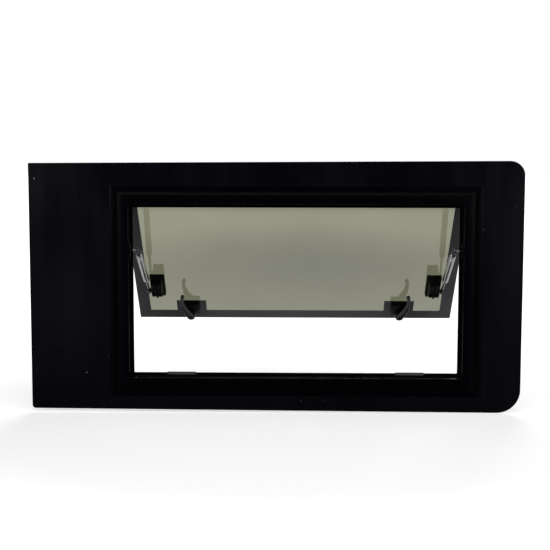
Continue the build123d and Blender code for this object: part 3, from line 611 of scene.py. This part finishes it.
def lever(hand, sign):
    """Crescent handle with a round hub on the spindle.

    Between the handle's outer and inner edge runs a section whose half width and half height
    follow the cosine and sine of the angle, each raised to a power; it thins towards the tip.
    """
    low_h, top_h = LEVER_H
    edges = smooth_path(LEVER_PATH, LEVER_ROWS)
    along = np.linspace(0, 1, LEVER_ROWS)
    middle = (edges[:, :2] + edges[:, 2:]) / 2
    half = (edges[:, 2:] - edges[:, :2]) / 2
    angle = np.linspace(0, 2 * np.pi, LEVER_AROUND, endpoint=False)
    wide = np.sign(np.cos(angle)) * np.abs(np.cos(angle)) ** LEVER_SQUARE
    high = np.sign(np.sin(angle)) * np.abs(np.sin(angle)) ** LEVER_SQUARE
    draw = TIP_THICK + (1 - TIP_THICK) * np.clip((1 - along) / TIP_SHARE, 0, 1) ** 0.5
    thick = (top_h - low_h) / 2 * draw
    plan = middle[:, None, :] + half[:, None, :] * wide[None, :, None]
    height = (low_h + top_h) / 2 + thick[:, None] * high[None, :]
    across = sign * (LATCH_X - plan[..., 0])
    grid = pane_frame(across, plan[..., 1], height)
    quads, index = ring_faces(LEVER_ROWS, LEVER_AROUND)
    faces = quads.tolist() + [index[0][::-1].tolist(), index[-1].tolist()]
    body, node = "latch_" + hand, "latch_lever_" + hand
    piece = mesh_piece(
        "latch_handle_" + hand, grid.reshape(-1, 3), faces, body, SLOTS[node], [node],
        smooth_angle=TURNED_SHARP,
    )
    outward(piece)
    piece.data.materials[0] = LEVER_BLACK
    normal = np.array([0.0, -math.cos(OPEN_ANGLE), -math.sin(OPEN_ANGLE)])
    foot = pane_frame(np.array(sign * LATCH_X), np.array(0.0), 0.0)
    hub = (
        (low_h - 0.02, 0.0), (low_h - 0.02, 9.0), (low_h + 0.25, 9.7), (low_h + 1.0, 10.0),
        (top_h - 1.6, 10.0), (top_h - 0.6, 9.6), (top_h - 0.1, 8.6), (top_h, 7.6), (top_h, 0.0),
    )
    hub_piece = turned(
        "latch_hub_" + hand, hub, foot, normal, body, SLOTS[node], [node], around=48
    )
    hub_piece.data.materials[0] = LEVER_BLACK


for hand, sign in HANDS.items():
    lever(hand, sign)


# ---------------------------------------------------------------- frame and clamp sections
OVER_W, OVER_H = 875.0 * MM, 500.0 * MM
FRAME_SECTION = (  # across from the flange's edge, depth, radius, all in millimetres
    (21.5, -12.0, 1.8), (44.8, -12.0, 1.6), (44.8, 10.0, 0.8), (53.5, 10.0, 0.9),
    (53.5, 14.0, 0.9), (36.0, 14.0, 0.6), (36.0, 8.3, 0.5), (4.0, 8.3, 0.5),
    (4.0, 5.8, 0.5), (24.0, 5.8, 0.4), (24.0, -2.2, 0.4), (21.5, -2.2, 0.3),
)
CLAMP_SECTION = (
    (0.0, -2.2, 0.9), (16.5, -2.2, 0.7), (16.5, 0.5, 0.2), (0.0, 0.5, 0.2),
)
MITRE_GAP = 0.1 * MM


def mitred_rail(name, side, section, stands_for, slot):
    """A section carried along one side of the frame.

    At both ends each point stops as far from the corner as it lies in from the flange's edge,
    which cuts the rail on the corner's diagonal.
    """
    outline = rounded_outline(section) * MM
    across, depth = outline[:, 0], outline[:, 1]
    flat = side in ("top", "bottom")
    sign = 1.0 if side in ("top", "right") else -1.0
    half_run = (OVER_W if flat else OVER_H) / 2 - MITRE_GAP
    half_out = (OVER_H if flat else OVER_W) / 2
    run = np.stack([-(half_run - across), half_run - across])
    out = np.broadcast_to(sign * (half_out - across), run.shape)
    deep = np.broadcast_to(depth, run.shape)
    grid = np.stack([run, deep, out] if flat else [out, deep, run], axis=-1)
    quads, index = ring_faces(2, len(outline))
    faces = quads.tolist() + [index[0][::-1].tolist(), index[1].tolist()]
    piece = mesh_piece(name, grid.reshape(-1, 3), faces, "window_frame", slot, stands_for)
    outward(piece)


for side in ("top", "bottom", "left", "right"):
    for part, section in (("frame", FRAME_SECTION), ("clamp", CLAMP_SECTION)):
        rail = [part + "_rail_" + side]
        mitred_rail(part + "_section_" + side, side, section, rail, "frame_black")


# ---------------------------------------------------------------- camera, light and stage
CAMERA_AT = Vector((-0.0133, -2.6128, 0.2988))
CAMERA_TURN = math.radians(-0.779)
CAMERA_DIP = math.radians(5.684)
CAMERA_ROLL = math.radians(0.115)
LENS, SENSOR = 73.06, 36.0


def place_camera():
    """Camera in front of the indoor face, above the opening's centre and dipped towards it."""
    ahead = Vector((
        math.sin(CAMERA_TURN) * math.cos(CAMERA_DIP),
        math.cos(CAMERA_TURN) * math.cos(CAMERA_DIP),
        -math.sin(CAMERA_DIP),
    ))
    right = ahead.cross(Vector((0, 0, 1))).normalized()
    up = right.cross(ahead)
    tilted_right = right * math.cos(CAMERA_ROLL) + up * math.sin(CAMERA_ROLL)
    tilted_up = tilted_right.cross(ahead)
    data = bpy.data.cameras.new("camera")
    data.sensor_width = SENSOR
    data.lens = LENS
    camera = bpy.data.objects.new("camera", data)
    camera.matrix_world = Matrix((
        (tilted_right.x, tilted_up.x, -ahead.x, CAMERA_AT.x),
        (tilted_right.y, tilted_up.y, -ahead.y, CAMERA_AT.y),
        (tilted_right.z, tilted_up.z, -ahead.z, CAMERA_AT.z),
        (0, 0, 0, 1),
    ))
    bpy.context.scene.collection.objects.link(camera)
    bpy.context.scene.camera = camera


def softbox(name, at, aim, size, power):
    """Rectangular lamp at a point, turned to another."""
    data = bpy.data.lights.new(name, "AREA")
    data.shape = "RECTANGLE"
    data.size, data.size_y = size
    data.energy = power
    lamp = bpy.data.objects.new(name, data)
    lamp.location = at
    lamp.rotation_euler = (Vector(aim) - Vector(at)).to_track_quat("-Z", "Y").to_euler()
    bpy.context.scene.collection.objects.link(lamp)


def studio_world():
    """White backdrop to the eye and through the glass, and a dim room to reflections and light."""
    world = bpy.data.worlds.new("studio")
    bpy.context.scene.world = world
    world.use_nodes = True
    tree = world.node_tree
    rays = add(tree, "LightPath").outputs
    seen = maths(tree, "MAXIMUM", rays["Is Camera Ray"], rays["Is Transmission Ray"])
    tint = mixed(tree, seen, colour(0.03, 0.03, 0.034), colour(1.0, 1.0, 1.0))
    tree.links.new(tint, tree.nodes["Background"].inputs["Color"])


FLOOR_HALF = 60.0
FLOOR_DROP = 0.002  # the floor lies this far under the panel
NEAR_SIZE = (1.7, 1.5, 1.0)  # lit floor round the window; beyond it the floor glows by itself
POOL_AT, POOL_SIZE = (0.1, 3.9), (1.9, 5.5, 1.0)  # pool of softly painted shade far behind
NEAR_GLOW, POOL_GLOW, FAR_GLOW = 0.5, 0.9, 1.55
NEAR_PALE, UNSEEN_PALE = 0.8, 0.03
BEHIND = (0.0, 0.03)  # from this depth to this the reflected floor brightens
SHARP_GLOW, SOFT_GLOW = 1.85, 0.6  # floor behind, to clear and to blurred reflections
SHADOW_STRIP_AT, SHADOW_STRIP_SIZE = (0.350, 0.36), (0.12, 0.17, 1.0)  # painted shadow strips on the floor, each side, dim to blurred reflections
SOFTBOXES = (  # name, place, aim, size, watts
    ("key_left", (-2.35, -2.4, 0.8), (0, 0, 0.05), (1.2, 1.1), 38),
    ("key_right", (2.3, -2.2, 0.75), (0, 0, 0.05), (1.1, 1.0), 36),
    ("overhead", (0, -1.7, 2.2), (0, 0.1, 0), (2.0, 0.7), 26),
    ("rear", (0.4, 2.8, 1.4), (0, 0.1, 0), (2.4, 1.6), 60),
)


def grey(level):
    """Neutral colour of one level."""
    return colour(level, level, level)


def studio_floor():
    """Pale floor just under the panel: bright to the eye and through the glass, dim in reflections.

    To the eye its own glow rises away from the window, except for a pool of painted shade some way
    behind.
    To reflections only the part behind the window glows, brighter in a clear one than a blurred; a
    painted shadow strip on each side dims it to blurred ones.
    """
    height = cad_low.z - FLOOR_DROP
    half = FLOOR_HALF
    corners = [(-half, -half), (half, -half), (half, half), (-half, half)]
    mesh = bpy.data.meshes.new("floor")
    mesh.from_pydata([(x, y, height) for x, y in corners], [], [(0, 1, 2, 3)])
    floor = bpy.data.objects.new("floor", mesh)
    bpy.context.scene.collection.objects.link(floor)
    material, tree, shader = new_finish("floor")
    rays = add(tree, "LightPath").outputs
    seen = maths(tree, "MAXIMUM", rays["Is Camera Ray"], rays["Is Transmission Ray"])
    depth = add(tree, "SeparateXYZ", {0: object_point(tree)}).outputs["Y"]
    behind = ramped(tree, depth, *BEHIND)
    near = spot(tree, (0.0, 0.0, height), NEAR_SIZE, soft=0.6)
    # painted shade: the floor's glow drops in a soft pool behind the window
    pool = spot(tree, (*POOL_AT, height), POOL_SIZE, soft=1.0)
    glow = mixed(tree, near, mixed(tree, pool, grey(FAR_GLOW), grey(POOL_GLOW)), grey(NEAR_GLOW))
    pale = mixed(tree, near, grey(0.0), grey(NEAR_PALE))
    # painted shadow: a strip of floor each side behind the window, dark to blurred reflections
    shadow_strips = [
        spot(tree, (sign * SHADOW_STRIP_AT[0], SHADOW_STRIP_AT[1], height), SHADOW_STRIP_SIZE, soft=0.35)
        for sign in HANDS.values()
    ]
    shade = maths(tree, "MULTIPLY", maths(tree, "MAXIMUM", *shadow_strips), rays["Is Glossy Ray"])
    lit = maths(tree, "MULTIPLY", behind, maths(tree, "SUBTRACT", 1.0, shade))
    unseen_glow = mixed(
        tree, rays["Is Singular Ray"],
        mixed(tree, lit, grey(0.0), grey(SOFT_GLOW)),
        mixed(tree, behind, grey(0.0), grey(SHARP_GLOW)),
    )
    tree.links.new(mixed(tree, seen, grey(UNSEEN_PALE), pale), shader.inputs["Base Color"])
    tree.links.new(mixed(tree, seen, unseen_glow, glow), shader.inputs["Emission Color"])
    shader.inputs["Emission Strength"].default_value = 1.0
    shader.inputs["Roughness"].default_value = 0.9
    floor.data.materials.append(material)


place_camera()
studio_world()
studio_floor()
for box in SOFTBOXES:
    softbox(*box)
bpy.context.scene.view_settings.view_transform = "Standard"
